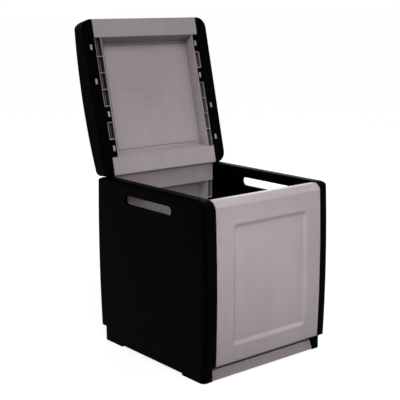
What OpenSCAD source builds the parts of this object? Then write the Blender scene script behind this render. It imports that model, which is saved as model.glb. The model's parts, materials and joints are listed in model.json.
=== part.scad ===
// Plastic storage trunk with a hinged, domed lid.
// +Z is up, the front faces -Y, and the origin lies on the ground under the body's centre.
// The lid is drawn standing open on its stop, as it is stored.

/* [Body] */
// Width across the two side panels
body_w = 500; // [450:1:560]
// Depth from the front face to the rear face, at half height
body_d = 570; // [500:1:640]
// Height of the side panels' top edge above the ground
side_h = 549; // [490:1:620]
// Wall thickness of the side panels and lid caps
wall = 3; // [2.4:0.1:4]
// Radius of the vertical corners
corner_r = 20; // [12:1:28]
// Radius of the side panels' top corners, seen from the side
shoulder_r = 38; // [24:1:44]
// Radius of the side panels' bottom corners, seen from the side
hem_r = 8; // [5:1:24]
// How far the front and rear faces bulge at half height
crown = 7; // [3:0.5:10]
// Radius along the side panels' top and upright outer edges
edge_r = 14; // [8:1:18]
// Radius along the side panels' bottom outer edges
hem_edge_r = 5; // [4:1:10]
// How far the side panels' bands sit behind the front and rear faces
band_setback = 2; // [1:0.5:4]
// Width of the side panels' bands beside the front and rear panels
band_w = 38; // [35:1:44]
// Width of the rim along the side panels' top
rim_w = 36; // [20:1:37]
// Depth of the rim's turned-down inner lip
rim_lip = 16; // [8:1:22]

/* [Hand slots] */
// Length of a hand slot
grip_len = 238; // [160:1:300]
// Height of a hand slot
grip_h = 29; // [24:1:36]
// Distance from the side panels' top edge to the middle of a hand slot
grip_drop = 53; // [46:1:80]
// How far the lip round a hand slot turns inwards
grip_lip = 9; // [4:1:14]

/* [Feet] */
// Height of the side panels' bottom plate above the ground
skirt_z = 48; // [40:1:60]
// How far the feet stand in from the side panels' outer faces
foot_inset = 5; // [3:1:12]
// How far the feet stand in from the body's front and rear faces
foot_setback = 28; // [20:1:36]
// Width of a side panel's foot rail
foot_w = 36; // [34:1:44]
// Length of the part of a foot rail that meets the ground, at each end
foot_len = 100; // [60:1:140]
// Height of the relief between the feet
foot_relief = 6; // [3:1:12]
// Corner radius of the feet, seen from above
foot_r = 14; // [6:1:20]

/* [Front and rear panels] */
// Depth of the front and rear panels at half height
panel_t = 44; // [40:1:52]
// How far the panels' top edges lie below the side panels' top edges
panel_drop = 4; // [2:0.5:8]
// Skin thickness of the front, rear and lid panels
skin = 3; // [2.4:0.1:3.6]
// Height of the flat strips along both ends of a panel's inner face
strip_h = 59; // [50:1:66]
// Depth of the recess in the inner face of the front and rear panels
tray_d = 29; // [20:1:30]
// How far the recess walls lean in along the panel's length
lean_u = 14; // [6:1:18]
// How far the recess walls lean in across the panel's width
lean_x = 8; // [4:1:12]
// Radius of the rolled top edge
roll_r = 20; // [12:1:24]
// Radius of the panels' upright outer edges
side_roll_r = 6; // [3:1:9]
// Width of the sunk field on the outer face
field_w = 292; // [220:1:320]
// Distance from the panel's top edge to the sunk field
field_top = 76; // [60:1:100]
// Distance from the panel's bottom edge to the sunk field
field_bottom = 54; // [40:1:90]
// Depth of the sunk field
field_d = 4; // [2:0.5:4]
// Width of the bevel round the sunk field
field_bevel = 9; // [4:1:12]
// Corner radius of the sunk field
field_r = 12; // [6:1:20]

/* [Edge channels and locks] */
// Width of the ribbed channel along each side of a panel
channel_w = 22; // [20:1:26]
// Thickness of the ribs across the channels
rib_t = 2.5; // [2:0.1:3.5]
// Length of the channel's first and last cell
end_cell = 61; // [54:1:66]
// Length of a lock slot along the panel
lock_l = 18; // [14:1:24]
// Width of a lock slot across the panel
lock_w = 9; // [7:1:14]
// Distance from the seam out to the middle of the lock slots in a cap's rim
lock_out = 16; // [13:1:18]
// Distance from the seam in to the middle of the lock slots in the tabs
lock_in = 13; // [10:1:13]

/* [Lid] */
// Distance from the body's rear face to the closed lid's rear edge
lid_rear_in = 50; // [38:1:54]
// Distance from the body's front face to the closed lid's front edge
lid_front_in = 12; // [6:1:30]
// How far the lid caps overhang the side panels
lid_overhang = 5; // [2:1:9]
// Thickness of the lid panel at its front and rear ends
lid_end_t = 41; // [38:1:48]
// Rise of the lid's dome from its ends to its middle
lid_rise = 20; // [8:1:26]
// How far the caps stand above the lid panel
cap_proud = 5; // [3:1:8]
// Corner radius of the lid caps, seen from above
cap_corner_r = 37; // [24:1:38]
// Radius along the caps' top outer edge
cap_edge_r = 11; // [6:1:14]
// Radius of the caps' front and rear top edges
cap_end_r = 24; // [14:1:28]
// Radius of the lid panel's front and rear top edges
lid_roll_r = 16; // [8:1:20]
// Depth of the recess in the lid's underside
lid_tray_d = 34; // [26:1:34]
// Distance from the recess edge to the raised platform in the lid's underside
platform_in = 23; // [19:1:40]
// Height of the raised platform in the lid's underside
platform_h = 2; // [1:0.5:4]

/* [Hinge] */
// Angle that the lid opens through, from closed to its stop
open_angle = 103; // [95:1:108]
// Radius of the lid's round hinge edge, which is also the hinge axis height above the rim
nose_r = 6; // [5:0.5:7]
// Radius of the hinge pins
pin_r = 3; // [2:0.25:3.5]
// Radial running clearance of a pin in its lug
pin_clear = 0.05; // [0.02:0.01:0.09]
// Outer radius of the hinge lugs
lug_r = 8; // [6.5:0.5:9]
// Thickness of a hinge lug
lug_t = 8; // [6:0.5:10]
// Distance from the seam out to the hinge lug
lug_out = 3; // [2:0.5:5]
// Thickness of the web in each cap that holds the outer end of a pin
web_t = 4.7; // [3:0.1:6]
// Length of pin that shows inside the lid panel
pin_show = 3; // [1:0.5:6]

/* [Floor and plinths] */
// Thickness of the floor panel's plate
floor_t = 3; // [2.4:0.1:4]
// Height of the floor panel with its ribs
floor_h = 14; // [10:1:24]
// Number of rib bays across the floor panel
floor_bays_x = 6; // [3:1:8]
// Number of rib bays along the floor panel
floor_bays_y = 6; // [3:1:8]
// Height of the plinth strips' top edge above the ground
plinth_top = 30; // [24:1:36]
// Gap between the plinth strips and the ground
plinth_ground = 2; // [1:0.5:5]
// How far the plinth strips flare outwards at the bottom
plinth_flare = 10; // [4:1:14]
// Depth of the plinth strips' top shelf
plinth_shelf = 14; // [8:1:20]

/* [Hidden] */
$fn = 96;

// Clearances: between pieces that slot together, and round the swinging lid
fit = 0.3;
lid_fit = 0.4;
// How far cutting shapes run past the face that they cut
over = 1;
// A length longer than any piece
far = 2000;

black = [0.05, 0.05, 0.055];
taupe = [0.62, 0.58, 0.59];

half_w = body_w / 2;
half_d = body_d / 2;
band_y = half_d - band_setback;
// Each crowned face is part of a cylinder across the body, centred at half height
crown_z = (side_h + skirt_z) / 2;
crown_r = (pow((side_h - skirt_z) / 2, 2) + pow(crown, 2)) / (2 * crown);
// The seam is the line in X where the moulded panels meet the side panels and caps
seam = half_w - band_w;
// The inner faces of the front and rear panels
inner_y = half_d - panel_t;
plate_top = skirt_z + wall;
panel_z = plate_top + fit;
panel_top = side_h - panel_drop;
panel_l = panel_top - panel_z;

// The hinge axis lies inside the lid's round rear edge
lid_z = side_h + lid_fit;
lid_l = body_d - lid_rear_in - lid_front_in;
lid_rear_y = half_d - lid_rear_in;
axis_y = lid_rear_y - nose_r;
axis_z = lid_z + nose_r;

// The lid's dome is a circle in the side view, shared by the panel and the caps
dome_r = (pow(lid_l / 2, 2) + pow(lid_rise, 2)) / (2 * lid_rise);
dome_t = lid_end_t + lid_rise - dome_r;
// Where the crown's centre lies in the frame of the front and rear panels
crown_u = crown_z - panel_z;
crown_t = panel_t - crown_r;

// The nubs of the locks lie a little below the face, and the tongues are longer than their slots
lock_nub = 0.8;
tongue_t = 5;
tongue_l = lock_l + 4;
// Height of the gusset that carries each hinge lug on its post
gusset_h = 48;

// Small helpers

// A corner to cut away so that a square edge at the origin becomes a round of radius r
module round_off(r) {
    difference() {
        square(r + over);
        circle(r);
    }
}

// Extrudes a (u, t) profile across the width, from x0 to x1
module across(x0, x1) {
    translate([x0, 0, 0])
        rotate(a = 120, v = [1, 1, 1])
            linear_extrude(x1 - x0)
                children();
}

// Extrudes an (x, t) profile along the length, from u0 to u1
module along(u0, u1) {
    translate([0, u1, 0])
        rotate([90, 0, 0])
            linear_extrude(u1 - u0)
                children();
}

module both_sides() {
    children();
    mirror([1, 0, 0]) children();
}

// Where the ribs stand along a panel whose length is l
function bay(l) = (l - 2 * strip_h - 2 * end_cell) / 5;
function cell_start(l, k) = strip_h + (k == 0 ? 0 : end_cell + (k - 1) * bay(l));
function cell_end(l, k) = cell_start(l, k) + (k == 0 || k == 6 ? end_cell : bay(l));
function cell_mid(l, k) = (cell_start(l, k) + cell_end(l, k)) / 2;

// Moulded panels. Their own frame has x across, y along the length and z from the inner face
// out to the show face.

// Outline of a moulded panel from the side, drawn in by d. Its show face is part of a circle of
// radius r with its centre at [u, t], and its two edges are rounded by r0 and r1
module profile(l, r, u, t, r0, r1, d) {
    difference() {
        intersection() {
            translate([d, d]) square([l - 2 * d, far]);
            translate([u, t]) circle(r - d, $fn = 720);
        }
        translate([l - r1, t + sqrt(pow(r - r1, 2) - pow(l - r1 - u, 2))]) round_off(r1 - d);
        translate([r0, t + sqrt(pow(r - r0, 2) - pow(u - r0, 2))]) mirror([1, 0]) round_off(r0 - d);
    }
}

module dome_profile(d) {
    profile(lid_l, dome_r, lid_l / 2, dome_t, lid_roll_r, lid_roll_r, d);
}

module crown_profile(d) {
    profile(panel_l, crown_r, crown_u, crown_t, side_roll_r, roll_r, min(d, side_roll_r - over));
}

// The recess in a panel's inner face, grown by g, with leaning walls and depth d
module tray(l, d, g) {
    edge_x = seam - channel_w - skin + g;
    intersection() {
        across(-far, far)
            polygon([[strip_h - g - lean_u * over / d, -over], [l - strip_h + g + lean_u * over / d, -over],
                     [l - strip_h + g - lean_u, d + g], [strip_h - g + lean_u, d + g]]);
        along(-far, far)
            polygon([[-edge_x - lean_x * over / d, -over], [edge_x + lean_x * over / d, -over],
                     [edge_x - lean_x, d + g], [-edge_x + lean_x, d + g]]);
    }
}

// The cells of one side's channel, each open to the inner face, with depth d. Their inner walls
// lean as the recess walls do
module channel_cells(l, d, lean) {
    root = seam - channel_w;
    for (k = [0:6])
        along(cell_start(l, k) + (k == 0 ? 0 : rib_t / 2), cell_end(l, k) - (k == 6 ? 0 : rib_t / 2))
            polygon([[root + lean * over, -over], [seam - fit - skin, -over], [seam - fit - skin, d],
                     [root - lean * d, d]]);
    along(strip_h, l - strip_h)
        translate([root, -over]) square([band_w + channel_w, wall + fit + over]);
}

// A lock in a channel cell: a shelf with a nub that stands up into the slot of a tab
module shelf_lock(l, k) {
    along(cell_start(l, k), cell_end(l, k))
        translate([seam - channel_w - over, wall + fit]) square([channel_w, skin]);
    nub(l, k, seam - lock_in);
}

// A lock beyond the seam: a tongue that slides behind a rim, with a nub in the rim's slot
module tongue_lock(l, k) {
    translate([seam - fit - skin, cell_mid(l, k) - tongue_l / 2, wall + fit])
        cube([lock_out + lock_w / 2 + fit + 2 * skin, tongue_l, tongue_t]);
    nub(l, k, seam + lock_out);
}

module nub(l, k, x) {
    translate([x - lock_w / 2 + fit, cell_mid(l, k) - lock_l / 2 + fit, lock_nub])
        cube([lock_w - 2 * fit, lock_l - 2 * fit, wall + fit]);
}

// A section in (radius, x) swept about a line across the panel at [u, t]
module sweep(u, t) {
    translate([0, u, t])
        rotate(a = 120, v = [1, 1, 1])
            rotate_extrude($fn = 720)
                children();
}

// The front or rear panel
module body_panel() {
    half = seam - fit;
    hollow_x = seam - channel_w - skin - lean_x * panel_t / tray_d;
    color(taupe)
    union() {
        difference() {
            intersection() {
                across(-half, half) crown_profile(0);
                sweep(crown_u, crown_t)
                    difference() {
                        translate([0, -half]) square([crown_r, 2 * half]);
                        for (s = [0, 1]) mirror([0, s])
                            translate([crown_r - side_roll_r, half - side_roll_r]) round_off(side_roll_r);
                    }
            }
            tray(panel_l, tray_d, 0);
            intersection() {
                both_sides() channel_cells(panel_l, far, lean_x / tray_d);
                across(-far, far) translate([crown_u, crown_t]) circle(crown_r - skin, $fn = 720);
            }
            // The rails behind the two strips are hollow and open at their ends
            difference() {
                across(-half - over, half + over) crown_profile(skin);
                tray(panel_l, tray_d, skin);
                translate([-far, strip_h - skin, -over])
                    cube([2 * far, panel_l - 2 * strip_h + 2 * skin, far]);
            }
            // The hollow between the recess and the show face
            intersection() {
                across(-hollow_x, hollow_x) crown_profile(skin + field_d);
                translate([-far, strip_h + skin, tray_d + skin])
                    cube([2 * far, panel_l - 2 * strip_h - 2 * skin, far]);
            }
            sunk_field();
        }
        both_sides() for (k = [1, 3, 5]) shelf_lock(panel_l, k);
    }
}

// The rectangle on the show face, sunk with a bevel all round, rounded corners and a floor that
// follows the crown
module sunk_field() {
    w = field_w / 2;
    u0 = field_bottom;
    u1 = panel_l - field_top;
    slope = field_bevel / field_d;
    low = 1.5 * field_d;
    high = crown + over;
    intersection() {
        across(-far, far)
            polygon([[u0 + slope * low, face_t(u0) - low], [u0 - slope * high, face_t(u0) + high],
                     [u1 + slope * high, face_t(u1) + high], [u1 - slope * low, face_t(u1) - low]]);
        sweep(crown_u, crown_t)
            polygon([[crown_r - field_d, field_bevel - w], [crown_r + over, -w - slope * over],
                     [crown_r + over, w + slope * over], [crown_r - field_d, w - field_bevel]]);
        linear_extrude(far) difference() {
            translate([-w, u0]) square([2 * w, u1 - u0]);
            for (s = [0, 1]) mirror([s, 0]) {
                translate([w - field_r, u1 - field_r]) round_off(field_r);
                translate([w - field_r, u0 + field_r]) mirror([0, 1]) round_off(field_r);
            }
        }
    }
}

// Height of the crowned show face above the inner face, at u along the panel
function face_t(u) = crown_t + sqrt(pow(crown_r, 2) - pow(u - crown_u, 2));

// Lid, in the panels' frame: y runs from the hinge edge forwards and z from the underside up

// Turns the lid's frame to the closed lid and then opens it on its hinge
module open_lid() {
    translate([0, axis_y, axis_z])
        rotate([-open_angle, 0, 0])
            translate([0, -axis_y, -axis_z])
                translate([0, lid_rear_y, lid_z])
                    rotate([0, 0, 180])
                        children();
}

// What the open lid may not enter: its end comes to rest on the body's rear edge, whose top is
// at height z
module rest_cut(z) {
    translate([-far / 2, 0, z + fit - far]) cube([far, far, far]);
}

// Rounds the hinge edge about the hinge axis
module nose_cut() {
    across(-far, far)
        translate([nose_r, nose_r])
            rotate(180) round_off(nose_r);
}

module lid_panel() {
    half = seam - fit;
    hollow_x = seam - channel_w - skin - lean_x * (lid_end_t + lid_rise) / lid_tray_d;
    color(taupe)
    difference() {
        open_lid() difference() {
            union() {
                difference() {
                    across(-half, half) dome_profile(0);
                    tray(lid_l, lid_tray_d, 0);
                    intersection() {
                        both_sides() channel_cells(lid_l, far, lean_x / lid_tray_d);
                        across(-far, far) translate([lid_l / 2, dome_t]) circle(dome_r - skin, $fn = 720);
                    }
                    // The hollow between the two skins, open at the ends of both rails
                    difference() {
                        across(-half - over, half + over) dome_profile(skin);
                        tray(lid_l, lid_tray_d, skin);
                        both_sides()
                            translate([hollow_x, strip_h - skin, -over])
                                cube([far, lid_l - 2 * strip_h + 2 * skin, far]);
                    }
                }
                platform();
                // The right side's tabs are at the front half and the left side's at the rear half
                for (k = [4, 6]) mirror([1, 0, 0]) shelf_lock(lid_l, k);
                for (k = [0, 2]) mirror([1, 0, 0]) tongue_lock(lid_l, k);
                for (k = [0, 2]) shelf_lock(lid_l, k);
                for (k = [4, 6]) tongue_lock(lid_l, k);
                both_sides() pin_boss();
            }
            nose_cut();
            both_sides() pin_bore(pin_r + pin_clear / 2);
        }
        rest_cut(panel_top);
    }
}

// The raised platform in the middle of the lid's underside
module platform() {
    x = seam - channel_w - skin - platform_in;
    u0 = strip_h + platform_in;
    b = platform_h;
    intersection() {
        across(-far, far)
            polygon([[u0, lid_tray_d + skin / 2], [u0 + b, lid_tray_d - platform_h],
                     [lid_l - u0 - b, lid_tray_d - platform_h], [lid_l - u0, lid_tray_d + skin / 2]]);
        along(-far, far)
            polygon([[-x, lid_tray_d + skin / 2], [b - x, lid_tray_d - platform_h],
                     [x - b, lid_tray_d - platform_h], [x, lid_tray_d + skin / 2]]);
    }
}

// The wall of the lid panel that holds the inner end of a hinge pin
module pin_boss() {
    translate([seam - fit - skin, 0, 0])
        intersection() {
            across(0, skin) translate([nose_r, nose_r]) circle(lug_r + wall);
            across(0, skin) dome_profile(0);
        }
}

module pin_bore(r) {
    across(0, far) translate([nose_r, nose_r]) circle(r);
}

// One cap, with two tabs in one half and two rim slots in the other. The right cap's tabs and
// slots are those of the left cap turned half round
module lid_cap(left) {
    tabs = left ? [0, 2] : [4, 6];
    slots = left ? [4, 6] : [0, 2];
    color(black)
    difference() {
        open_lid() mirror([left ? 0 : 1, 0, 0]) difference() {
            union() {
                difference() {
                    cap_shape(0);
                    cap_shape(wall);
                }
                for (k = tabs) tab(lid_l, k);
                hinge_web();
            }
            for (k = slots) lock_slot(lid_l, k, seam + lock_out);
            for (k = tabs) lock_slot(lid_l, k, seam - lock_in);
            nose_cut();
            lug_pocket();
            pin_bore(pin_r + pin_clear / 2);
        }
        rest_cut(side_h);
    }
}

// The solid form of a cap drawn in by d, with its dome, rounded corners and edges
module cap_shape(d) {
    half = half_w + lid_overhang - d;
    r = cap_end_r;
    end_t = dome_t + sqrt(pow(dome_r + cap_proud - r, 2) - pow(lid_l / 2 - r, 2));
    difference() {
        intersection() {
            cap_sweep(half, dome_r + cap_proud - d, cap_edge_r - d);
            translate([0, 0, d]) linear_extrude(far) cap_plan(half, d, cap_corner_r - d);
        }
        across(-far, far) {
            translate([lid_l - r, end_t]) round_off(r - d);
            translate([r, end_t]) mirror([1, 0]) round_off(r - d);
        }
    }
}

// A cap's section turned about the dome's centre. Drawn in, it runs past the seam and stays
// open there
module cap_sweep(half, r_top, r_edge) {
    sweep(lid_l / 2, dome_t)
        difference() {
            translate([0, seam - over]) square([r_top, half - seam + over]);
            translate([r_top - r_edge, half - r_edge]) round_off(r_edge);
        }
}

module cap_plan(half, d, r) {
    inner = d == 0 ? seam : seam - over;
    difference() {
        translate([inner, d]) square([half - inner, lid_l - 2 * d]);
        translate([half - r, lid_l - d - r]) round_off(r);
        translate([half - r, d + r]) mirror([0, 1]) round_off(r);
    }
}

// A tab that laps over one cell of the neighbouring panel's channel
module tab(l, k) {
    translate([seam - channel_w + fit, cell_start(l, k) + rib_t, 0])
        cube([channel_w + wall, cell_end(l, k) - cell_start(l, k) - 2 * rib_t, wall]);
}

module lock_slot(l, k, x) {
    translate([x - lock_w / 2, cell_mid(l, k) - lock_l / 2, -over])
        cube([lock_w, lock_l, wall + 2 * over]);
}

// The web inside a cap that holds the outer end of a hinge pin
module hinge_web() {
    x0 = seam + lug_out + lug_t + fit;
    intersection() {
        across(x0, x0 + web_t)
            union() {
                translate([nose_r, nose_r]) circle(lug_r);
                square([nose_r + lug_r, nose_r]);
                square([nose_r, nose_r + lug_r]);
            }
        cap_shape(0);
    }
}

// The room in a cap for the side panel's hinge lug, which is wider than its round top where it
// leaves the rim
module lug_pocket() {
    sweep_r = sqrt(pow(lug_r, 2) + pow(nose_r, 2)) + lid_fit;
    across(seam - over, seam + lug_out + lug_t + fit)
        translate([nose_r, nose_r]) circle(sweep_r);
}

// Body

// A side panel, drawn for the right side
module side_panel() {
    color(black)
    difference() {
        union() {
            side_shell();
            for (s = [0, 1]) mirror([0, s, 0]) {
                post();
                foot();
            }
            foot_rail();
            rim();
            grip_ring();
            hinge_lug();
        }
        grip_hole(0, far);
    }
}

// The outer form of a side panel drawn in by d: the two crowned faces, and the outlines seen from
// the side and the front, each with its own rounded corners
module side_form(d) {
    x = half_w - d;
    z0 = skirt_z + d;
    z1 = side_h - d;
    intersection() {
        band_face(d);
        mirror([0, 1, 0]) band_face(d);
        rotate([90, 0, 90]) linear_extrude(far) difference() {
            translate([-half_d, z0]) square([body_d, z1 - z0]);
            for (s = [0, 1]) mirror([s, 0]) {
                translate([round_y(shoulder_r, side_h), z1 - shoulder_r + d]) round_off(shoulder_r - d);
                translate([round_y(hem_r, skirt_z), z0 + hem_r - d]) mirror([0, 1]) round_off(hem_r - d);
            }
        }
        rotate([90, 0, 0]) linear_extrude(far, center = true) difference() {
            translate([0, z0]) square([x, z1 - z0]);
            translate([x - edge_r + d, z1 - edge_r + d]) round_off(edge_r - d);
            translate([x - hem_edge_r + d, z0 + hem_edge_r - d]) mirror([0, 1]) round_off(hem_edge_r - d);
        }
    }
}

// One crowned face with its rounded upright corner
module band_face(d) {
    translate([0, band_y - crown_r, crown_z])
        rotate(a = 120, v = [1, 1, 1])
            rotate_extrude($fn = 720)
                difference() {
                    square([crown_r - d, half_w - d]);
                    translate([crown_r - corner_r, half_w - corner_r]) round_off(corner_r - d);
                }
}

// Where a round of radius r at height z touches the crowned face
function round_y(r, z) = band_y - crown_r
    + sqrt(pow(crown_r - r, 2) - pow((side_h - skirt_z) / 2 - r, 2));

// The skin: the form less the form drawn in, kept to the outer wall, bands, rim and bottom plate
module side_shell() {
    difference() {
        side_form(0);
        side_form(wall);
        // The wide opening towards the inside of the trunk
        translate([0, -inner_y, 0]) cube([half_w - rim_w, 2 * inner_y, side_h + over]);
        translate([0, -inner_y, plate_top]) cube([half_w - wall, 2 * inner_y, side_h - plate_top - wall]);
        // The front and rear panels slide in beside the posts
        translate([0, -half_d, 0]) cube([seam, body_d, skirt_z]);
        translate([0, -half_d, plate_top]) cube([seam, body_d, far]);
        translate([0, -half_d, 0]) cube([half_w - foot_inset - foot_w, body_d, far]);
    }
}

// The inner wall of one upright corner post, with the tabs that lock the panel beside it
module post() {
    translate([0, inner_y, 0])
        intersection() {
            translate([seam, 0, skirt_z]) cube([band_w - wall / 2, wall, side_h - skirt_z - wall / 2]);
            translate([0, -inner_y, 0]) side_form(0);
        }
    translate([0, inner_y, panel_z])
        rotate([90, 0, 180]) mirror([1, 0, 0])
            difference() {
                for (k = [1, 3, 5]) tab(panel_l, k);
                for (k = [1, 3, 5]) lock_slot(panel_l, k, seam - lock_in);
            }
}

// The rim's inner lip
module rim() {
    translate([half_w - rim_w, -inner_y - wall / 2, side_h - rim_lip])
        cube([wall, 2 * inner_y + wall, rim_lip]);
}

// One end of the foot rail, down to the ground
module foot() {
    difference() {
        linear_extrude(skirt_z + wall / 2) foot_plan(0, half_d - foot_setback - foot_len);
        translate([0, 0, wall]) linear_extrude(skirt_z) foot_plan(wall, 0);
    }
}

// The foot rail seen from above, drawn in by d, from y0 to its rounded end
module foot_plan(d, y0) {
    y1 = half_d - foot_setback - d;
    x1 = half_w - foot_inset - d;
    x0 = half_w - foot_inset - foot_w - (d > 0 ? over : 0);
    difference() {
        translate([x0, y0]) square([x1 - x0, y1 - y0]);
        translate([x1 - foot_r + d, y1 - foot_r + d]) round_off(foot_r - d);
    }
}

// The rail between the two feet, clear of the ground
module foot_rail() {
    y1 = half_d - foot_setback - foot_len + wall;
    x1 = half_w - foot_inset;
    translate([x1 - wall, -y1, foot_relief]) cube([wall, 2 * y1, skirt_z - foot_relief + wall / 2]);
    translate([x1 - foot_w, -y1, foot_relief]) cube([foot_w, 2 * y1, wall]);
}

// The hand slot, a long hole with round ends, grown by g
module grip_hole(g, depth) {
    translate([half_w - depth, 0, side_h - grip_drop])
        rotate([90, 0, 90])
            linear_extrude(depth + over)
                union() {
                    square([grip_len - grip_h, grip_h + 2 * g], center = true);
                    for (s = [-1, 1]) translate([s * (grip_len - grip_h) / 2, 0]) circle(grip_h / 2 + g);
                }
}

// The lip that turns inwards round the hand slot
module grip_ring() {
    intersection() {
        grip_hole(wall, grip_lip + wall);
        translate([0, -half_d, 0]) cube([half_w - wall / 2, body_d, far]);
    }
}

// The lug that carries the lid, on the rear post
module hinge_lug() {
    foot_z = side_h - gusset_h;
    translate([seam + lug_out, 0, 0])
        rotate([90, 0, 90])
            linear_extrude(lug_t)
                difference() {
                    union() {
                        translate([axis_y, axis_z]) circle(lug_r);
                        polygon([[axis_y - lug_r, axis_z], [axis_y + lug_r, axis_z],
                                 [axis_y + lug_r, side_h - wall], [inner_y + wall, side_h - wall],
                                 [inner_y + wall, foot_z], [inner_y, foot_z],
                                 [axis_y - lug_r, side_h - rim_lip]]);
                    }
                    translate([axis_y, axis_z]) circle(pin_r + pin_clear);
                }
}

module left_side_panel() { mirror([1, 0, 0]) side_panel(); }
module right_side_panel() { side_panel(); }

module front_panel() { translate([0, -inner_y, panel_z]) rotate([90, 0, 0]) body_panel(); }
module rear_panel() { translate([0, inner_y, panel_z]) rotate([90, 0, 180]) body_panel(); }

// The floor: a plate on a skirt with crossing ribs, lying on the side panels' bottom plates
module floor_panel() {
    hx = half_w - wall - fit;
    hy = inner_y - fit;
    z0 = plate_top;
    color(taupe)
    translate([0, 0, z0])
    union() {
        translate([-hx, -hy, floor_h - floor_t]) cube([2 * hx, 2 * hy, floor_t]);
        for (i = [0:floor_bays_x])
            translate([-hx + i * (2 * hx - rib_t) / floor_bays_x, -hy, 0]) cube([rib_t, 2 * hy, floor_h]);
        for (j = [0:floor_bays_y])
            translate([-hx, -hy + j * (2 * hy - rib_t) / floor_bays_y, 0]) cube([2 * hx, rib_t, floor_h]);
    }
}

// A plinth strip between the feet: a flared face, a shelf and a web up to the floor panel
module plinth() {
    half = half_w - foot_inset - foot_w - fit;
    face_y = half_d - foot_setback - plinth_flare;
    web_y = face_y - plinth_shelf;
    color(taupe)
    rotate([90, 0, 90])
        linear_extrude(2 * half, center = true)
            polygon([[face_y, plinth_top], [face_y + plinth_flare, plinth_ground],
                     [face_y + plinth_flare - wall, plinth_ground], [face_y - wall, plinth_top - wall],
                     [web_y + wall, plinth_top - wall], [web_y + wall, plinth_ground],
                     [web_y, plinth_ground], [web_y, plate_top], [web_y + wall, plate_top],
                     [web_y + wall, plinth_top]]);
}

module front_plinth() { mirror([0, 1, 0]) plinth(); }
module rear_plinth() { plinth(); }

module hinge_pin() {
    x0 = seam - fit - skin - pin_show;
    x1 = seam + lug_out + lug_t + fit + web_t;
    color(black)
    translate([x0, axis_y, axis_z]) rotate([0, 90, 0]) cylinder(r = pin_r, h = x1 - x0);
}

left_side_panel();
right_side_panel();
front_panel();
rear_panel();
floor_panel();
front_plinth();
rear_plinth();
lid_panel();
lid_cap(true);  // left_lid_cap
lid_cap(false);  // right_lid_cap
mirror([1, 0, 0]) hinge_pin();  // left_hinge_pin
hinge_pin();  // right_hinge_pin
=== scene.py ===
# %% [markdown]
# A plastic storage trunk, dressed for the camera.
# The trunk is moulded in two plastics: near-black side panels with the posts, rims and feet, and
# pale grey-brown panels between them. Its shape is already drawn exactly, so Blender's work here
# is what a mould and some years of use add: softened edges, a fine spark-eroded grain, flow
# marks, ribs deep in the channels, and light. The frame is loaded first and never moved.

# %% The frame
import bpy
import bmesh
import json
import math
from mathutils import Matrix, Vector

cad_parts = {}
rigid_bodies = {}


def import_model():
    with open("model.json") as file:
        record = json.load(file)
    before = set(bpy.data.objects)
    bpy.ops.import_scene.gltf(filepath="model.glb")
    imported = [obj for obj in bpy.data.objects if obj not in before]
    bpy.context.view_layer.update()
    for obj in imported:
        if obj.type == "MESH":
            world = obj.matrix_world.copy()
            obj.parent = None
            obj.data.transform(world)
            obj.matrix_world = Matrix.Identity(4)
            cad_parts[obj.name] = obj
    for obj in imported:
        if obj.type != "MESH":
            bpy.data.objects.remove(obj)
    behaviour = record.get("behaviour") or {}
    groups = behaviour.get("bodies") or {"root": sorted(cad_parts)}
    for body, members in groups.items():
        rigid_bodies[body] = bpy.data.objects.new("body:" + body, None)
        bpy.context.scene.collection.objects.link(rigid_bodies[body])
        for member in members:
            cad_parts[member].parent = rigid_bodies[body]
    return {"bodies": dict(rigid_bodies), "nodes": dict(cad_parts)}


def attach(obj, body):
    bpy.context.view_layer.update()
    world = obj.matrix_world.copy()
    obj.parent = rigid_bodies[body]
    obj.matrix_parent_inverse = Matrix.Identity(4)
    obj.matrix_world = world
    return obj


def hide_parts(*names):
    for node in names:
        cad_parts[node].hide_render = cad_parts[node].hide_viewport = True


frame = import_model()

own = set(frame["nodes"].values()) | set(frame["bodies"].values())
for stray in [o for o in bpy.data.objects if o not in own]:
    bpy.data.objects.remove(stray)
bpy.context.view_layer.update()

# %% [markdown]
# The camera stands where the photographer stood: to the left of the front, a little above the
# open lid's hinge, with a long lens. Its place came from fitting the trunk's straight edges to
# the photograph, so it is given here as a turn, a tilt and a point, and not by eye.

# %% The camera
TURN, TILT, ROLL = math.radians(-39.23), math.radians(11.71), math.radians(-0.33)
STAND = Vector((-1.89255, -2.26590, 1.09118))
LENS = 85.14


def camera_axes(turn, tilt, roll):
    """The camera's right, up and back directions."""
    flat = math.cos(tilt)
    back = Vector((math.sin(turn) * flat, -math.cos(turn) * flat, math.sin(tilt)))
    right = Vector((math.cos(turn), math.sin(turn), 0))
    up = back.cross(right)
    return (right * math.cos(roll) + up * math.sin(roll),
            up * math.cos(roll) - right * math.sin(roll), back)


eye = bpy.data.cameras.new("camera")
eye.lens = LENS
eye.sensor_width = 36
eye.clip_end = 400
camera = bpy.data.objects.new("camera", eye)
bpy.context.collection.objects.link(camera)
facing = Matrix(camera_axes(TURN, TILT, ROLL)).transposed().to_4x4()
camera.matrix_world = Matrix.Translation(STAND) @ facing
bpy.context.scene.camera = camera
print("camera stands", round(STAND.length, 2), "m from the trunk's foot")

# %% [markdown]
# A shader is a sum of patterns, and sums are easier to read as sums. This small class wraps one
# socket, so that adding or multiplying two of them makes the Math node between them. Any other
# node comes from one method, which takes its type, its settings and what goes into its sockets.


# %% Writing shaders as sums
class Wire:
    """One output socket, which can be added, taken away, multiplied and raised like a number."""

    def __init__(self, finish, socket):
        self.finish, self.socket = finish, socket

    def _sum(self, kind, a, b):
        return self.finish.node("ShaderNodeMath", {"operation": kind}, {0: a, 1: b})

    def __add__(self, other): return self._sum("ADD", self, other)
    def __radd__(self, other): return self._sum("ADD", other, self)
    def __sub__(self, other): return self._sum("SUBTRACT", self, other)
    def __rsub__(self, other): return self._sum("SUBTRACT", other, self)
    def __mul__(self, other): return self._sum("MULTIPLY", self, other)
    def __pow__(self, other): return self._sum("POWER", self, other)


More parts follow.
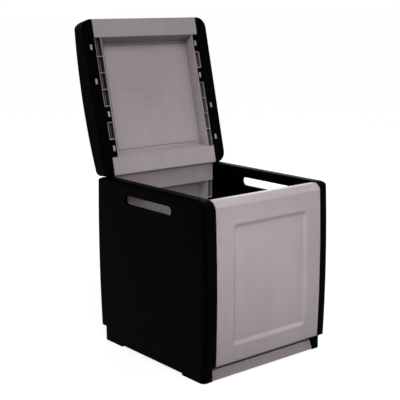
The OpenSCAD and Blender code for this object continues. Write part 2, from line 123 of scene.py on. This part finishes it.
class Finish:
    """A material and the nodes that make it."""

    def __init__(self, name):
        self.material = bpy.data.materials.new(name)
        self.material.use_nodes = True
        self.tree = self.material.node_tree
        self.tree.nodes.clear()
        self.out = self.tree.nodes.new("ShaderNodeOutputMaterial")
        self.place = self.node("ShaderNodeTexCoord", out="Object")

    def node(self, kind, settings=None, inputs=None, out=0):
        """Adds a node, sets it, fills its sockets with numbers or wires, and gives one output."""
        node = self.tree.nodes.new(kind)
        for key, value in (settings or {}).items():
            setattr(node, key, value)
        for key, value in (inputs or {}).items():
            if isinstance(value, Wire):
                self.tree.links.new(value.socket, node.inputs[key])
            else:
                node.inputs[key].default_value = value
        return Wire(self, node.outputs[out])

    def noise(self, size, detail=2.0, stretch=(1, 1, 1), roughness=0.5):
        """Soft noise whose patches are about size metres across."""
        spot = self.node("ShaderNodeMapping", None, {"Vector": self.place, "Scale": stretch})
        return self.node("ShaderNodeTexNoise", None, {"Vector": spot, "Scale": 1 / size,
                                                     "Detail": detail, "Roughness": roughness})

    def step(self, value, low, high):
        """0 below low, 1 above high and smooth between."""
        return self.node("ShaderNodeMapRange", {"interpolation_type": "SMOOTHSTEP"},
                         {"Value": value, "From Min": low, "From Max": high})

    def blend(self, share, a, b):
        """Colour a where share is 0 and colour b where it is 1."""
        mix = self.tree.nodes.new("ShaderNodeMix")
        mix.data_type = "RGBA"
        self.tree.links.new(share.socket, mix.inputs[0])
        for slot, colour in ((6, a), (7, b)):
            if isinstance(colour, Wire):
                self.tree.links.new(colour.socket, mix.inputs[slot])
            else:
                mix.inputs[slot].default_value = (*colour, 1)
        return Wire(self, mix.outputs[2])


print("shader helpers ready:", [name for name in vars(Finish) if name[0] != "_"])

# %% [markdown]
# Both plastics leave the mould with the same kinds of marks. A spark-eroded tool gives a fine,
# even grain of about a millimetre. The melt cools unevenly, so the tone drifts a little over a
# hand's breadth, and streaks follow the flow. Use leaves rubbed, paler edges and a few short
# scuffs. The grain is kept shallow, because one that shows from three metres is too deep. A Bevel
# node rounds the light over every knife edge of the drawing, and where its normal departs from
# the true one there is an edge, which is how the shader knows where hands and feet have rubbed.
# On the pale plastic, shade is painted into the colour where a surface is hemmed in by others, as
# in the channel cells. An Ambient Occlusion node measures that on the surface itself, so the
# painted shade holds from every side. The dark plastic is too dark to show it, so it goes without.


# %% Moulded plastic
DRIFT, FLOW, SPECK, HAIRLINE = 0.22, 0.05, 0.0016, 0.012
GRAIN_CELLS, GRAIN_DEPTH, SHADE_REACH = 1100.0, 0.0004, 0.045


def plain(*screen):
    """The linear colour of three numbers read off a screen."""
    return tuple(((c / 255 + 0.055) / 1.055) ** 2.4 if c > 10 else c / 255 / 12.92 for c in screen)


def moulded(name, colour, pale, deep, gloss, grain, specular, radius=0.0009, marks=None, painted_shade=0):
    """A plastic of one colour, paler where rubbed, deeper where the melt cooled slowly, with
    painted shade where hemmed in.
    """
    finish = Finish(name)
    drift = finish.noise(DRIFT, 3.0)
    streak = finish.noise(FLOW, 3.0, (1, 1, 0.22), 0.6)
    speck = finish.noise(SPECK, 2.0)
    eased = finish.node("ShaderNodeBevel", {"samples": 4}, {"Radius": radius})
    true = finish.node("ShaderNodeNewGeometry", out="Normal")
    agree = finish.node("ShaderNodeVectorMath", {"operation": "DOT_PRODUCT"},
                        {0: eased, 1: true}, out="Value")
    rub = finish.step(1 - agree, 0.01, 0.16)
    scuff = finish.step(finish.noise(HAIRLINE, 4.0, (0.25, 1, 1.6), 0.65), 0.66, 0.76)
    scuff = scuff * finish.step(finish.noise(0.3, 2.0), 0.5, 0.7)
    worn = rub * finish.step(finish.noise(0.03, 4.0), 0.35, 0.7)
    tone = finish.step(drift * 0.55 + streak * 0.3 + speck * 0.15, 0.25, 0.75)
    shade = finish.blend(tone, deep, colour)
    shade = finish.blend(worn * 0.45 + scuff * 0.16, shade, pale)
    # Painted shade: where the Ambient Occlusion node finds the surface hemmed in, the colour is
    # darkened towards a near-black tone.
    if painted_shade:
        hemmed = 1 - finish.node("ShaderNodeAmbientOcclusion", {"samples": 4},
                                 {"Distance": SHADE_REACH}, out="AO")
        painted_shade_colour = tuple(c * 0.2 for c in deep)
        shade = finish.blend(finish.step(hemmed, 0.08, 0.85) * painted_shade, shade, painted_shade_colour)
    if marks:
        shade = finish.blend(marks(finish), shade, tuple(c * 0.72 for c in deep))
    fine = finish.node("ShaderNodeTexVoronoi", {"feature": "F1"},
                       {"Vector": finish.place, "Scale": GRAIN_CELLS}, out="Distance")
    relief = fine * 0.4 + speck * 0.6 + finish.noise(0.03, 2.0) * 0.35
    normal = finish.node("ShaderNodeBump", None, {"Height": relief, "Strength": grain,
                                                  "Distance": GRAIN_DEPTH, "Normal": eased},
                         out="Normal")
    rough = gloss + (drift - 0.5) * 0.12 + worn * 0.08 - scuff * 0.07
    surface = finish.tree.nodes.new("ShaderNodeBsdfPrincipled")
    for key, wire in (("Base Color", shade), ("Roughness", rough), ("Normal", normal)):
        finish.tree.links.new(wire.socket, surface.inputs[key])
    surface.inputs["Specular IOR Level"].default_value = specular
    finish.tree.links.new(surface.outputs[0], finish.out.inputs[0])
    print(name, "has", len(finish.tree.nodes), "nodes")
    return finish.material


# %% [markdown]
# The lid's skin is filled through one gate in its middle, and a faint swirl with a few straight
# streaks shows there. The mark is drawn in the plane of the lid's skin: a Mapping node centres it
# on the gate and lays it flat, and the angle round the gate drives the noise. The pip that is
# left at the gate itself has this finish without the painted shade, which would make it a dark dot.

# %% The lid's own frame and the gate mark
HINGE_Y, HINGE_Z, LID_REAR, LID_Z, LID_L = 0.229, 0.5554, 0.235, 0.5494, 0.508
GATE_UP = 0.032
LID_LEAN = math.radians(103)
# From the lid's frame (across, along from the hinge, up from the underside) to the open lid
LID = (Matrix.Translation((0, HINGE_Y, HINGE_Z)) @ Matrix.Rotation(-LID_LEAN, 4, "X")
       @ Matrix.Translation((0, LID_REAR - HINGE_Y, LID_Z - HINGE_Z))
       @ Matrix.Rotation(math.pi, 4, "Z"))
GATE = LID @ Vector((0, LID_L / 2, GATE_UP))
print("the gate is at", [round(c, 4) for c in GATE])


def gate_swirl(finish):
    """Twisted arms close to the gate, and straight lines that run off to one side of it."""
    flat = finish.node("ShaderNodeMapping", {"vector_type": "TEXTURE"},
                       {"Vector": finish.place, "Location": GATE, "Rotation": (-LID_LEAN, 0, 0)})
    split = finish.tree.nodes.new("ShaderNodeSeparateXYZ")
    finish.tree.links.new(flat.socket, split.inputs[0])
    x, y = Wire(finish, split.outputs[0]), Wire(finish, split.outputs[1])
    radius = (x * x + y * y) ** 0.5
    angle = finish.node("ShaderNodeMath", {"operation": "ARCTAN2"}, {0: y, 1: x})
    twist = finish.node("ShaderNodeCombineXYZ", None,
                        {0: angle * 1.1 + radius * 26, 1: radius * 30})
    arms = finish.node("ShaderNodeTexNoise", None, {"Vector": twist, "Scale": 2.6, "Detail": 3.0})
    near = 1 - finish.step(radius, 0.004, 0.07)
    reach = 1 - finish.step(radius, 0.03, 0.17)
    side = finish.step(0 - x, 0.0, 0.05)
    line = finish.step(finish.noise(HAIRLINE, 2.0, (0.08, 1, 1)), 0.55, 0.7)
    return finish.step(arms, 0.48, 0.66) * near * 0.42 + line * reach * side * 0.16


# The last number given to each pale plastic is how strongly shade is painted into hemmed-in places.
taupe = moulded("taupe_plastic_moulded", plain(178, 168, 172), plain(190, 182, 185),
                plain(164, 154, 158), 0.50, 0.30, 0.30, painted_shade=0.8)
taupe_lid = moulded("taupe_plastic_lid", plain(177, 167, 171), plain(188, 180, 183),
                    plain(163, 153, 157), 0.52, 0.30, 0.28, marks=gate_swirl, painted_shade=0.8)
taupe_gate = moulded("taupe_plastic_gate", plain(172, 162, 166), plain(182, 174, 177),
                     plain(160, 150, 154), 0.52, 0.10, 0.28, radius=0.0003, marks=gate_swirl)
dark = moulded("dark_plastic_moulded", plain(3, 3, 3), plain(12, 12, 13), plain(2, 2, 2),
               0.52, 0.40, 0.008)
pin_grey = moulded("pin_plastic_turned", plain(20, 20, 21), plain(44, 44, 46), plain(14, 14, 15),
                   0.28, 0.15, 0.4, radius=0.0004)

# %% [markdown]
# Most drawn pieces have the right shape down to the ribs, so they stay, and get the finish of
# their plastic in place of the plain colour that they came with.

# %% Finishes on the drawn pieces
DRESS = {"left_side_panel": dark, "right_side_panel": dark,
         "left_lid_cap": dark, "right_lid_cap": dark,
         "floor_panel": taupe, "front_plinth": taupe, "rear_plinth": taupe, "lid_panel": taupe_lid,
         "left_hinge_pin": pin_grey, "right_hinge_pin": pin_grey}
for name, finish in DRESS.items():
    for patch in frame["nodes"][name].material_slots:
        patch.material = finish
print(len(DRESS), "drawn pieces dressed")

# %% [markdown]
# The front and rear panels are the trunk's face, and their show side is worth its own surface. It
# bulges by seven millimetres, rolls into a flat at the top that slopes 35 degrees down from the
# rear edge, and has a field pressed in by seven and a half millimetres with soft rolls all round
# it. On the drawing the field is shallower, its bevel is a crisp facet, and the top edge is a
# quarter round. Here the whole show side is one height field: for each point across and along
# the panel, a rule gives its height. The same rule could be pushed into a subdivided plane by a
# Displace modifier, but lines placed one by one, close together in the rolls and far apart on the
# flats, follow it better with a tenth of the faces.

# %% The show side's rule
HALF, INNER_Y, PANEL_Z, PANEL_L = 0.2117, 0.241, 0.0513, 0.4937
CROWN, CROWN_REACH, PANEL_T, CROWN_U = 0.007, 0.2505, 0.044, 0.2472
CROWN_R = (CROWN_REACH ** 2 + CROWN ** 2) / (2 * CROWN)
CROWN_T = PANEL_T - CROWN_R
TOP_ROLL, SIDE_ROLL, LEDGE_SLOPE, LEDGE_ROLL = 0.020, 0.006, math.radians(35), 0.009
FIELD_X, FIELD_LOW, FIELD_HIGH, FIELD_R, FIELD_D = 0.149, 0.053, PANEL_L - 0.075, 0.015, 0.0075
BEVEL_OUT, BEVEL_IN = 0.0035, 0.0125
RECESS_X, RECESS_LOW, RECESS_HIGH, RECESS_LIP = 0.17486, 0.0620, 0.4317, 0.032
SKIN, SKIN_LEAST = 0.005, 0.002


def arc(u, radius):
    """Height of the bulged face at u, for a cylinder of that radius."""
    return CROWN_T + math.sqrt(radius ** 2 - (u - CROWN_U) ** 2)


def low_roll(u):
    """Height of the rounded low end, or of the plain face above its start."""
    if u > CROWN_U + (SIDE_ROLL - CROWN_U) * CROWN_R / (CROWN_R - SIDE_ROLL):
        return arc(u, CROWN_R)
    rise = math.sqrt(max(SIDE_ROLL ** 2 - (u - SIDE_ROLL) ** 2, 0))
    return arc(SIDE_ROLL, CROWN_R - SIDE_ROLL) + rise


def field_depth(x, u):
    """How far the sunk field lies below the face: nothing outside, all of it inside the bevel."""
    qx = abs(x) - (FIELD_X - FIELD_R)
    qu = abs(u - (FIELD_LOW + FIELD_HIGH) / 2) - ((FIELD_HIGH - FIELD_LOW) / 2 - FIELD_R)
    inside = FIELD_R - math.hypot(max(qx, 0), max(qu, 0)) - min(max(qx, qu), 0)
    s = min(max((inside + BEVEL_OUT) / (BEVEL_OUT + BEVEL_IN), 0), 1)
    return FIELD_D * s * s * (3 - 2 * s)


def ledge(u):
    """Height of the flat at the panel's top, which slopes down from the rear edge."""
    return arc(PANEL_L - TOP_ROLL, CROWN_R - TOP_ROLL) + (PANEL_L - u) / math.tan(LEDGE_SLOPE)


def soft_min(a, b, width):
    """The lower of two heights, with the corner between them rounded."""
    near_by = max(width - abs(a - b), 0) / width
    return min(a, b) - near_by * near_by * width / 4


def show_height(x, u):
    """Height of the show side at x across and u along the panel."""
    over = max(abs(x) - (HALF - SIDE_ROLL), 0)
    drop = SIDE_ROLL - math.sqrt(max(SIDE_ROLL ** 2 - over ** 2, 0))
    face = arc(u, CROWN_R - drop)
    height = soft_min(face, ledge(u), LEDGE_ROLL) if u > CROWN_U else min(low_roll(u), face)
    return height - field_depth(x, u)


def recess_height(x, u):
    """Height of the recess's floor, which keeps clear of the face and of the sunk field."""
    return min(arc(u, CROWN_R) - SKIN, show_height(x, u) - SKIN_LEAST)


print("show side height at the middle and at the top edge:",
      round(show_height(0, 0.02), 4), round(show_height(0, PANEL_L), 4))

# %% [markdown]
# The lines of the net are set where the rule bends. An arc's lines go by angle, so they crowd
# towards its steep end, and the field's bevels and the roll at the top get a line every
# millimetre or so.


# %% The net of lines
def spread(a, b, count):
    """Even lines from a towards b, without b itself."""
    return [a + (b - a) * i / count for i in range(count)]


def rolled(centre, r, way, count):
    """Lines on an arc of radius r that starts at centre and ends r further on."""
    return [centre + way * r * math.sin(math.pi / 2 * i / count) for i in range(count + 1)]


OUTSIDE, INSIDE, PAST_CORNER = 0.0045, 0.0135, 0.024
ROLL_FROM, ROLL_TO = PANEL_L - 0.022, PANEL_L - 0.006
CORNER_X = FIELD_X - FIELD_R - 0.004
right = (spread(0, CORNER_X, 10) + spread(CORNER_X, FIELD_X - INSIDE, 5)
         + spread(FIELD_X - INSIDE, FIELD_X + OUTSIDE, 15)
         + spread(FIELD_X + OUTSIDE, HALF - SIDE_ROLL, 6)
         + rolled(HALF - SIDE_ROLL, SIDE_ROLL, 1, 7))
ACROSS = [-x for x in reversed(right[1:])] + right
STATIONS = [(SIDE_ROLL, 5), (FIELD_LOW - OUTSIDE, 15), (FIELD_LOW + INSIDE, 5),
            (FIELD_LOW + PAST_CORNER, 24), (FIELD_HIGH - PAST_CORNER, 5), (FIELD_HIGH - INSIDE, 15),
            (FIELD_HIGH + OUTSIDE, 6), (ROLL_FROM, 14), (ROLL_TO, 3), (PANEL_L, 0)]
ALONG = list(reversed(rolled(SIDE_ROLL, SIDE_ROLL, -1, 7)))[:-1]
for (here, count), (there, _) in zip(STATIONS, STATIONS[1:]):
    ALONG += spread(here, there, count)
ALONG.append(PANEL_L)
print(len(ACROSS), "lines across by", len(ALONG), "lines along")

# %% [markdown]
# The new show side is joined to the rest of the drawn panel: every drawn triangle that faces out
# from the show side is left away, and all others keep their exact normals. So the channels, ribs
# and lock tabs behind are the drawn ones, and the two surfaces meet on the same outline. The
# field is sunk deeper than the drawn skin is thick, so the floor of the recess behind it is a
# second net, which gives way where the field presses in. A third, one cell high, is its low edge.


# %% Building the two panels
HAIR, FACET, OLD_SHOW_SIDE = 0.0002, 0.0004, 0.0032


def in_recess(x, u, t):
    """Whether a drawn corner lies on the recess's floor or on the low edge of it."""
    if abs(x) > RECESS_X + HAIR or not RECESS_LOW - HAIR < u < RECESS_HIGH + HAIR:
        return False
    on_lip = t > RECESS_LIP - HAIR and u < RECESS_LOW + HAIR
    return on_lip or t > arc(u, CROWN_R) - SKIN - FACET


def is_kept(corners, outwards):
    """Whether a drawn triangle stays, from its corners and how far it faces the show side."""
    if all(in_recess(*corner) for corner in corners):
        return False
    middle = [sum(c) / 3 for c in zip(*corners)]
    over = [t - show_height(x, u) for x, u, t in (middle, *corners)]
    if outwards > 0.02 and over[0] > -OLD_SHOW_SIDE:
        return False
    return over[0] <= -HAIR and max(over) <= HAIR / 2


def net(points, wide, rows, place):
    """Adds a net of points, wide by rows, and returns its four-sided cells."""
    base = len(points)
    points += [place(i, j) for j in range(rows) for i in range(wide)]
    starts = [base + j * wide + i for j in range(rows - 1) for i in range(wide - 1)]
    return [(a, a + 1, a + 1 + wide, a + wide) for a in starts]


def dress_panel(name, way):
    """Makes one panel's piece. way is -1 where the show side faces -Y, and 1 at the rear."""
    source = frame["nodes"][name].data
    points, faces, normals = [], [], []
    for face in source.polygons:
        corners = [source.vertices[i].co.copy() for i in face.vertices]
        if is_kept([(p.x, p.z - PANEL_Z, way * p.y - INNER_Y) for p in corners],
                   way * face.normal.y):
            faces.append(tuple(range(len(points), len(points) + 3)))
            points += corners
            normals += [source.corner_normals[i].vector.copy() for i in face.loop_indices]
    kept = len(faces)

    def spot(x, u, t):
        return Vector((x, way * (INNER_Y + t), PANEL_Z + u))

    xs = [-RECESS_X] + [x for x in ACROSS if abs(x) < RECESS_X - 0.001] + [RECESS_X]
    us = [u for u in ALONG if RECESS_LOW + 0.001 < u < RECESS_HIGH - 0.001]
    us = [RECESS_LOW] + us + [RECESS_HIGH]
    lip = [recess_height(x, RECESS_LOW) for x in xs]
    cells = net(points, len(ACROSS), len(ALONG),
                lambda i, j: spot(ACROSS[i], ALONG[j], show_height(ACROSS[i], ALONG[j])))
    behind = net(points, len(xs), len(us),
                 lambda i, j: spot(xs[i], us[j], recess_height(xs[i], us[j])))
    cells += [ring[::-1] for ring in behind]
    cells += net(points, len(xs), 2,
                 lambda i, j: spot(xs[i], RECESS_LOW, min(RECESS_LIP, lip[i]) if j else lip[i]))
    cells = [ring if way < 0 else ring[::-1] for ring in cells]
    push = {}
    for ring in cells:
        a, b, c, d = (points[i] for i in ring)
        out = (c - a).cross(d - b)
        for i in ring:
            push[i] = push.get(i, Vector()) + out
    for ring in cells:
        faces.append(ring)
        normals += [push[i].normalized() for i in ring]
    mesh = bpy.data.meshes.new(name + "_dressed")
    mesh.from_pydata(points, [], faces)
    mesh.shade_smooth()
    mesh.normals_split_custom_set(normals)
    mesh.materials.append(taupe)
    piece = bpy.data.objects.new(name + "_dressed", mesh)
    bpy.context.collection.objects.link(piece)
    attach(piece, "trunk")
    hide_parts(name)
    print(f"{name}: {len(source.polygons)} drawn triangles, {kept} kept, {len(cells)} new faces")


dress_panel("front_panel", -1)
dress_panel("rear_panel", 1)

# %% [markdown]
# Along both sides of each panel runs a channel of seven cells, and thin fins stand in every cell
# between its two ribs, to keep the wall flat while it cools. They repeat by a rule, so Geometry
# Nodes make them: a line of points, one for each fin, each moved and stretched from its number
# alone. The tree ends in Realize Instances and Set Material, and is then turned into a plain mesh.


# %% The fins' tree
CELLS, FINS_IN_CELL = 7, 2
FINS_A_SIDE = CELLS * FINS_IN_CELL
FIN_INPUTS = (("Panel Length", 0.508), ("Strip", 0.059), ("End Cell", 0.061), ("Fin Height", 0.02),
              ("Fin Start", 0.012), ("Thickness", 0.0012), ("Channel Middle", 0.1985),
              ("Gap", 0.0065))


def fin_tree(material):
    """A tree that sets two fins in each cell on both sides of one panel."""
    tree = bpy.data.node_groups.new("channel_fins", "GeometryNodeTree")
    face = tree.interface
    for label, start in FIN_INPUTS:
        face.new_socket(label, in_out="INPUT", socket_type="NodeSocketFloat").default_value = start
    face.new_socket("Geometry", in_out="OUTPUT", socket_type="NodeSocketGeometry")
    give, take = tree.nodes.new("NodeGroupInput"), tree.nodes.new("NodeGroupOutput")

    def node(kind, inputs=None, **settings):
        fresh = tree.nodes.new(kind)
        for key, value in settings.items():
            setattr(fresh, key, value)
        for key, value in (inputs or {}).items():
            if isinstance(value, bpy.types.NodeSocket):
                tree.links.new(value, fresh.inputs[key])
            else:
                fresh.inputs[key].default_value = value
        return fresh

    def maths(kind, a, b=0.0):
        return node("ShaderNodeMath", {0: a, 1: b}, operation=kind).outputs[0]

    size = give.outputs
    index = node("GeometryNodeInputIndex").outputs[0]
    cell = maths("FLOOR", maths("DIVIDE", maths("MODULO", index, FINS_A_SIDE), FINS_IN_CELL))
    half = maths("FLOOR", maths("DIVIDE", index, FINS_A_SIDE))
    side = maths("SUBTRACT", maths("MULTIPLY", half, 2.0), 1.0)
    twin = maths("SUBTRACT", maths("MULTIPLY", maths("MODULO", index, FINS_IN_CELL), 2.0), 1.0)
    ends = maths("MULTIPLY", maths("ADD", size["Strip"], size["End Cell"]), 2.0)
    bay = maths("DIVIDE", maths("SUBTRACT", size["Panel Length"], ends), CELLS - 2)
    first, last = maths("LESS_THAN", cell, 0.5), maths("GREATER_THAN", cell, CELLS - 1.5)
    at_end = maths("ADD", first, last)
    length = maths("ADD", bay, maths("MULTIPLY", at_end, maths("SUBTRACT", size["End Cell"], bay)))
    middle = maths("ADD", maths("ADD", size["Strip"], size["End Cell"]),
                   maths("MULTIPLY", maths("SUBTRACT", cell, 0.5), bay))
    shift = maths("MULTIPLY", maths("SUBTRACT", bay, size["End Cell"]), 0.5)
    middle = maths("ADD", middle, maths("MULTIPLY", maths("SUBTRACT", first, last), shift))
    beside = maths("MULTIPLY", maths("MULTIPLY", twin, size["Gap"]), 0.5)
    across = maths("MULTIPLY", side, maths("ADD", size["Channel Middle"], beside))
    height = maths("ADD", size["Fin Start"], maths("MULTIPLY", size["Fin Height"], 0.5))
    line = node("GeometryNodeMeshLine", {"Count": 2 * FINS_A_SIDE})
    spot = node("ShaderNodeCombineXYZ", {0: across, 1: middle, 2: height})
    dots = node("GeometryNodeSetPosition",
                {"Geometry": line.outputs[0], "Position": spot.outputs[0]})
    fin = node("GeometryNodeMeshCube", {"Size": (1.0, 1.0, 1.0)})
    stretch = node("ShaderNodeCombineXYZ",
                   {0: size["Thickness"], 1: length, 2: size["Fin Height"]})
    many = node("GeometryNodeInstanceOnPoints",
                {"Points": dots.outputs[0], "Instance": fin.outputs[0],
                 "Scale": stretch.outputs[0]})
    real = node("GeometryNodeRealizeInstances", {0: many.outputs[0]})
    coat = node("GeometryNodeSetMaterial", {"Geometry": real.outputs[0], "Material": material})
    tree.links.new(coat.outputs[0], take.inputs[0])
    return tree


def fins(name, tree, values):
    """One panel's fins as a plain mesh in the panel's own frame."""
    blank = bpy.data.objects.new(name, bpy.data.meshes.new(name))
    bpy.context.collection.objects.link(blank)
    grow = blank.modifiers.new("fins", "NODES")
    grow.node_group = tree
    for item in tree.interface.items_tree:
        if item.in_out == "INPUT" and item.name in values:
            grow[item.identifier] = values[item.name]
    grown = blank.evaluated_get(bpy.context.evaluated_depsgraph_get())
    mesh = bpy.data.meshes.new_from_object(grown)
    bpy.data.objects.remove(blank)
    return mesh


def place_piece(name, body, parts, material):
    """Joins meshes, each moved by its own matrix, into one piece that rides on body."""
    bm = bmesh.new()
    for mesh, matrix in parts:
        extra = mesh.copy()
        extra.transform(matrix)
        bm.from_mesh(extra)
        bpy.data.meshes.remove(extra)
    bmesh.ops.recalc_face_normals(bm, faces=bm.faces)
    whole = bpy.data.meshes.new(name)
    bm.to_mesh(whole)
    bm.free()
    whole.materials.clear()
    whole.materials.append(material)
    piece = bpy.data.objects.new(name, whole)
    bpy.context.collection.objects.link(piece)
    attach(piece, body)
    print(name, "has", len(whole.polygons), "faces")


# %% [markdown]
# The lid's channels are deeper than the panels', so its fins are taller. The front and rear
# panels' fins are one mesh, because both panels belong to the body that stands still.

# %% Fins in the channels
FRONT = Matrix.Translation((0, -INNER_Y, PANEL_Z)) @ Matrix.Rotation(math.pi / 2, 4, "X")
REAR = Matrix.Rotation(math.pi, 4, "Z") @ FRONT
tree = fin_tree(taupe)
lid_fins = fins("lid_fins", tree, {"Panel Length": LID_L, "Fin Height": 0.026})
body_fins = fins("body_fins", tree, {"Panel Length": PANEL_L, "Fin Height": 0.020})
place_piece("lid_channel_fins", "lid", [(lid_fins, LID)], taupe_lid)
place_piece("panel_channel_fins", "trunk", [(body_fins, FRONT), (body_fins, REAR)], taupe)

# %% [markdown]
# Where the melt entered, a small round pip is left in a shallow ring, in the middle of the lid's
# underside. It is turned like a pot: a short outline of radius and height is carried round in
# thirty-two steps, and the pole is closed with a fan.


# %% The gate pip
def turned(outline, steps=32):
    """A closed round mesh from an outline of radius and height."""
    bm = bmesh.new()
    turns = [2 * math.pi * k / steps for k in range(steps)]
    rings = [[bm.verts.new((r * math.cos(turn), r * math.sin(turn), h)) for turn in turns]
             for r, h in outline]
    for low, high in zip(rings, rings[1:]):
        for k in range(steps):
            n = (k + 1) % steps
            bm.faces.new((low[k], low[n], high[n], high[k]))
    pole = bm.verts.new((0, 0, outline[-1][1]))
    foot = bm.verts.new((0, 0, outline[0][1]))
    for k in range(steps):
        n = (k + 1) % steps
        bm.faces.new((rings[-1][k], rings[-1][n], pole))
        bm.faces.new((rings[0][n], rings[0][k], foot))
    for face in bm.faces:
        face.smooth = True
    mesh = bpy.data.meshes.new("gate_pip")
    bm.to_mesh(mesh)
    bm.free()
    return mesh


PIP = [(0.0055, 0.0006), (0.0055, 0.0), (0.0052, -0.0002), (0.0047, -0.0002), (0.0044, 0.0),
       (0.0020, 0.0), (0.0017, -0.0002), (0.0013, -0.0004), (0.0007, -0.0005)]
AT_GATE = LID @ Matrix.Translation((0, LID_L / 2, GATE_UP))
place_piece("lid_gate_pip", "lid", [(turned(PIP), AT_GATE)], taupe_gate)

# %% [markdown]
# The photograph is cut out on white, so floor and backdrop are one pale sheet that the camera
# sees as white, and the floor keeps a faint shadow where the feet stand. Its glow is painted a
# little dimmer near the trunk, a painted shade round it that lets that shadow show, and it grows
# whiter with distance, so that no horizon shows. The light that comes back up from it is held
# low, because the lid's upper recess wall faces down and is dark.

# %% Floor and backdrop
SHEET, PAPER, NEAR_WHITE = (0.07, 0.07, 0.07, 1), (0.90, 0.90, 0.90, 1), (0.88, 0.88, 0.88)
FLOOR_GLOW, SHADOW_SHARE, SKY_LIGHT, SKY_SEEN = 1.46, 0.35, 0.14, 1.0
WHITER_FROM, WHITER_TO, SHEET_HALF = 1.0, 4.5, 90
ground = Finish("pale_floor")
seen = (ground.node("ShaderNodeLightPath", out="Is Camera Ray")
        + ground.node("ShaderNodeLightPath", out="Is Glossy Ray")
        + ground.node("ShaderNodeLightPath", out="Is Transmission Ray"))
sheet = ground.tree.nodes.new("ShaderNodeBsdfDiffuse")
sheet.inputs[0].default_value = SHEET
white = ground.tree.nodes.new("ShaderNodeEmission")
away = ground.node("ShaderNodeVectorMath", {"operation": "LENGTH"}, {0: ground.place}, out="Value")
# Painted shade: the glow is dimmer within a few metres of the trunk, so that its shadow shows.
glow = ground.blend(ground.step(away, WHITER_FROM, WHITER_TO), NEAR_WHITE, (1, 1, 1))
ground.tree.links.new(glow.socket, white.inputs[0])
white.inputs[1].default_value = FLOOR_GLOW
paper = ground.tree.nodes.new("ShaderNodeBsdfDiffuse")
paper.inputs[0].default_value = PAPER
half = ground.tree.nodes.new("ShaderNodeMixShader")
half.inputs[0].default_value = SHADOW_SHARE
ground.tree.links.new(white.outputs[0], half.inputs[1])
ground.tree.links.new(paper.outputs[0], half.inputs[2])
pick = ground.tree.nodes.new("ShaderNodeMixShader")
ground.tree.links.new(seen.socket, pick.inputs[0])
ground.tree.links.new(sheet.outputs[0], pick.inputs[1])
ground.tree.links.new(half.outputs[0], pick.inputs[2])
ground.tree.links.new(pick.outputs[0], ground.out.inputs[0])

bm = bmesh.new()
bmesh.ops.create_grid(bm, x_segments=12, y_segments=12, size=SHEET_HALF)
floor_mesh = bpy.data.meshes.new("floor_sheet")
bm.to_mesh(floor_mesh)
bm.free()
floor_sheet = bpy.data.objects.new("floor_sheet", floor_mesh)
floor_sheet.data.materials.append(ground.material)
bpy.context.collection.objects.link(floor_sheet)

world = bpy.data.worlds.new("studio")
bpy.context.scene.world = world
world.use_nodes = True
sky = world.node_tree
sky.nodes.clear()
path = sky.nodes.new("ShaderNodeLightPath")
soft = sky.nodes.new("ShaderNodeBackground")
soft.inputs[0].default_value = (1, 1, 1, 1)
soft.inputs[1].default_value = SKY_LIGHT
bright = sky.nodes.new("ShaderNodeBackground")
bright.inputs[0].default_value = (1, 1, 1, 1)
bright.inputs[1].default_value = SKY_SEEN
swap = sky.nodes.new("ShaderNodeMixShader")
kinds = path.outputs["Is Camera Ray"]
for ray in ("Is Glossy Ray", "Is Transmission Ray"):
    sum_up = sky.nodes.new("ShaderNodeMath")
    sky.links.new(path.outputs[ray], sum_up.inputs[1])
    sky.links.new(kinds, sum_up.inputs[0])
    kinds = sum_up.outputs[0]
sky.links.new(kinds, swap.inputs[0])
sky.links.new(soft.outputs[0], swap.inputs[1])
sky.links.new(bright.outputs[0], swap.inputs[2])
sky_out = sky.nodes.new("ShaderNodeOutputWorld")
sky.links.new(swap.outputs[0], sky_out.inputs[0])
print("floor and backdrop are plain and pale")

# %% [markdown]
# Five soft boxes light the trunk. The main one hangs high in front and gives the top edges their
# light line. Two small ones with narrow beams, from the left and from the front, lift the front
# panel and hardly reach the inside, which is dark in the photograph. A wide one on the right
# keeps that side from going flat, and the last stands behind for those who walk round the trunk.


# %% Soft boxes
def soft_box(name, place, aim, width, height, power, spread=180):
    """An area lamp at place that looks at aim, with its beam's spread in degrees."""
    lamp = bpy.data.lights.new(name, "AREA")
    lamp.shape = "RECTANGLE"
    lamp.size, lamp.size_y, lamp.energy = width, height, power
    lamp.spread = math.radians(spread)
    box = bpy.data.objects.new(name, lamp)
    bpy.context.collection.objects.link(box)
    look = (Vector(aim) - Vector(place)).to_track_quat("-Z", "Y").to_matrix().to_4x4()
    box.matrix_world = Matrix.Translation(place) @ look


soft_box("top_box", (-0.5, -1.1, 3.0), (0, -0.1, 0.4), 1.4, 1.2, 39)
soft_box("left_box", (-1.2, -1.9, 1.1), (0, -0.285, 0.38), 0.6, 0.5, 0.95, 36)
soft_box("front_box", (-0.5, -2.2, 0.6), (0, -0.285, 0.36), 0.8, 0.4, 0.75, 40)
soft_box("side_box", (2.6, -1.0, 1.0), (0, -0.2, 0.4), 1.0, 1.2, 6)
soft_box("back_box", (1.8, 2.4, 2.0), (0, 0, 0.45), 1.8, 1.4, 55)

# %% The view transform
bpy.context.scene.view_settings.view_transform = "Standard"
